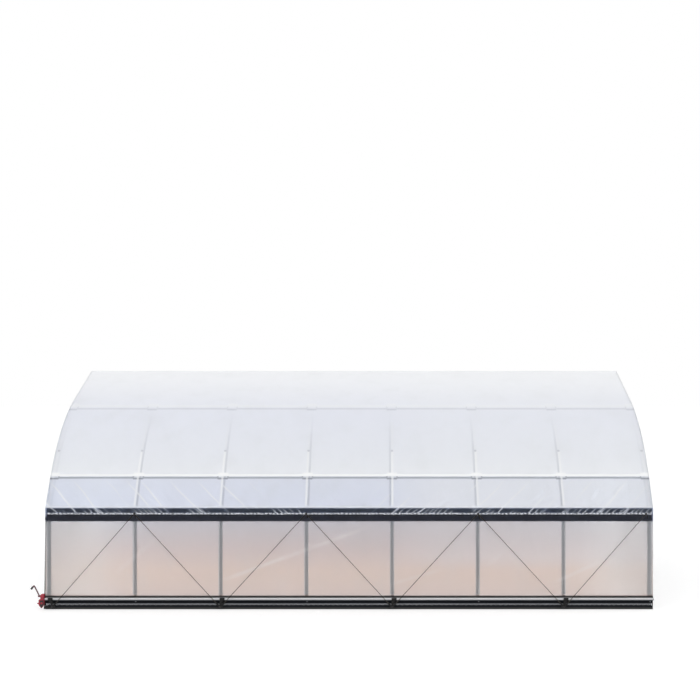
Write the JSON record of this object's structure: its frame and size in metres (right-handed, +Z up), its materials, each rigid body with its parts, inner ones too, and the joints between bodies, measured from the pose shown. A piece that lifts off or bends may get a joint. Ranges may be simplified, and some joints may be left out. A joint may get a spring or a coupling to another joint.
{
  "type": "polytunnel greenhouse",
  "caption": "Polytunnel greenhouse of galvanised pipe hoops under translucent film, with hip and base boards and roll-up side curtains held by ropes and wound by hand-cranked winches.",
  "frame": {"origin": "on the ground, at the middle of the tunnel's plan", "axes": "+X along the ridge, +Y across the tunnel away from the side in the picture, +Z up"},
  "size_m": [9.7006, 6.2786, 3.569],
  "materials": {
    "galvanised_pipe": "galvanised, satin",
    "clamp_steel": "weathered zinc",
    "roof_film": "translucent diffusing film",
    "curtain_film": "translucent film, dusty low down",
    "end_film": "translucent diffusing film",
    "dark_board": "dark stained sawn timber",
    "lock_channel": "mill finish extrusion",
    "rope": "twisted dark cord",
    "pole_steel": "dull galvanised",
    "red_paint": "red painted casting",
    "black_casting": "black",
    "crank_paint": "dark red paint, worn",
    "grip_rubber": "matt grey rubber"
  },
  "bodies": {
    "root": {"hoop_1": "galvanised_pipe", "hoop_2": "galvanised_pipe", "hoop_3": "galvanised_pipe", "hoop_4": "galvanised_pipe", "hoop_5": "galvanised_pipe", "hoop_6": "galvanised_pipe", "hoop_7": "galvanised_pipe", "hoop_8": "galvanised_pipe", "ridge_purlin": "galvanised_pipe", "lower_purlin_near": "galvanised_pipe", "lower_purlin_far": "galvanised_pipe", "upper_purlin_near": "galvanised_pipe", "upper_purlin_far": "galvanised_pipe", "purlin_clamps": "clamp_steel", "roof_film_eave_near": "roof_film", "roof_film_eave_far": "roof_film", "roof_film_shoulder_near": "roof_film", "roof_film_shoulder_far": "roof_film", "roof_film_rafter_near": "roof_film", "roof_film_rafter_far": "roof_film", "hip_board_near": "dark_board", "base_board_near": "dark_board", "side_curtain_near": "curtain_film", "roll_bar_near": "galvanised_pipe", "curtain_rope_near": "rope", "winch_gearbox_near": "red_paint", "hip_board_far": "dark_board", "base_board_far": "dark_board", "side_curtain_far": "curtain_film", "roll_bar_far": "galvanised_pipe", "curtain_rope_far": "rope", "winch_gearbox_far": "red_paint", "end_wall_film_left": "end_film", "door_frame_left": "galvanised_pipe", "end_wall_film_right": "end_film", "door_frame_right": "galvanised_pipe", "film_lock_channels": "lock_channel", "rope_hooks": "clamp_steel", "guide_poles": "pole_steel", "winch_guides": "black_casting", "door_rolls": "end_film"},
    "crank_near": {"crank_handle_near": "crank_paint", "crank_grip_near": "grip_rubber"},
    "crank_far": {"crank_handle_far": "crank_paint", "crank_grip_far": "grip_rubber"}
  },
  "joints": [
    {"name": "crank_near_turn", "type": "hinge", "parent": "root", "child": "crank_near", "pos_m": [-4.7138, -3.0943, 0.203], "axis": [1, 0, 0], "continuous": true},
    {"name": "crank_far_turn", "type": "hinge", "parent": "root", "child": "crank_far", "pos_m": [4.7138, 3.0943, 0.203], "axis": [-1, 0, 0], "continuous": true}
  ]
}
